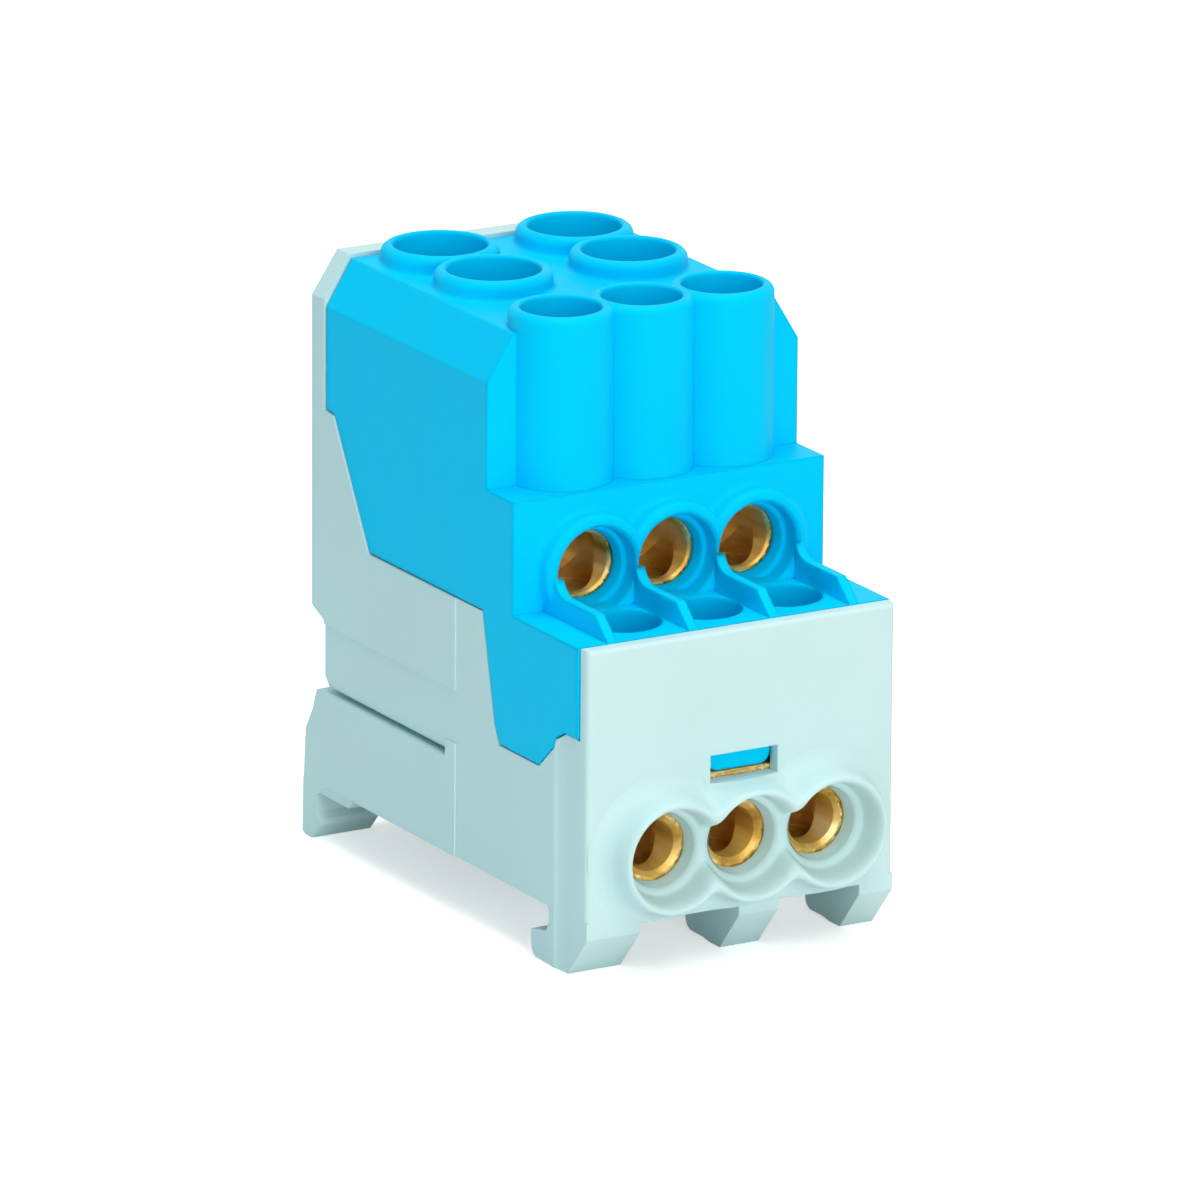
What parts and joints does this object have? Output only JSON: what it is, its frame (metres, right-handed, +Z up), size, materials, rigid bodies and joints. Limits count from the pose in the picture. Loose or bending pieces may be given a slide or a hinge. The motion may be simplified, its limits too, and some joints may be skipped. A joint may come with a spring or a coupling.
{
  "type": "power distribution block",
  "caption": "Single-pole rail-mounted distribution block with stepped rows of screw-clamped conductor bores under guide tubes.",
  "frame": {"origin": "centre of the footprint, on the surface that the feet stand on", "axes": "+X across the block, -Y towards the front plate, +Z up through the screw tubes"},
  "size_m": [0.0274, 0.046, 0.0481],
  "materials": {
    "grey_plastic": "fine satin moulded polyamide",
    "blue_plastic": "fine satin moulded polyamide",
    "brass": "drawn and drilled",
    "screw_steel": "zinc plated"
  },
  "bodies": {
    "block": {"base_housing": "grey_plastic", "cover": "blue_plastic", "terminal_block": "brass"},
    "main_screw_1": {"main_screw_1": "screw_steel"},
    "main_screw_2": {"main_screw_2": "screw_steel"},
    "main_screw_3": {"main_screw_3": "screw_steel"},
    "main_screw_4": {"main_screw_4": "screw_steel"},
    "upper_screw_1": {"upper_screw_1": "screw_steel"},
    "upper_screw_2": {"upper_screw_2": "screw_steel"},
    "upper_screw_3": {"upper_screw_3": "screw_steel"},
    "lower_screw_1": {"lower_screw_1": "screw_steel"},
    "lower_screw_2": {"lower_screw_2": "screw_steel"},
    "lower_screw_3": {"lower_screw_3": "screw_steel"}
  },
  "joints": [
    {"name": "main_screw_1_travel", "type": "slide", "parent": "block", "child": "main_screw_1", "axis": [0, 0, -1], "range_m": [0, 0.00748]},
    {"name": "main_screw_2_travel", "type": "slide", "parent": "block", "child": "main_screw_2", "axis": [0, 0, -1], "range_m": [0, 0.00748]},
    {"name": "main_screw_3_travel", "type": "slide", "parent": "block", "child": "main_screw_3", "axis": [0, 0, -1], "range_m": [0, 0.00748]},
    {"name": "main_screw_4_travel", "type": "slide", "parent": "block", "child": "main_screw_4", "axis": [0, 0, -1], "range_m": [0, 0.00748]},
    {"name": "upper_screw_1_travel", "type": "slide", "parent": "block", "child": "upper_screw_1", "axis": [0, 0, -1], "range_m": [0, 0.00427]},
    {"name": "upper_screw_2_travel", "type": "slide", "parent": "block", "child": "upper_screw_2", "axis": [0, 0, -1], "range_m": [0, 0.00427]},
    {"name": "upper_screw_3_travel", "type": "slide", "parent": "block", "child": "upper_screw_3", "axis": [0, 0, -1], "range_m": [0, 0.00427]},
    {"name": "lower_screw_1_travel", "type": "slide", "parent": "block", "child": "lower_screw_1", "axis": [0, 0, -1], "range_m": [0, 0.00354]},
    {"name": "lower_screw_2_travel", "type": "slide", "parent": "block", "child": "lower_screw_2", "axis": [0, 0, -1], "range_m": [0, 0.00354]},
    {"name": "lower_screw_3_travel", "type": "slide", "parent": "block", "child": "lower_screw_3", "axis": [0, 0, -1], "range_m": [0, 0.00354]}
  ]
}
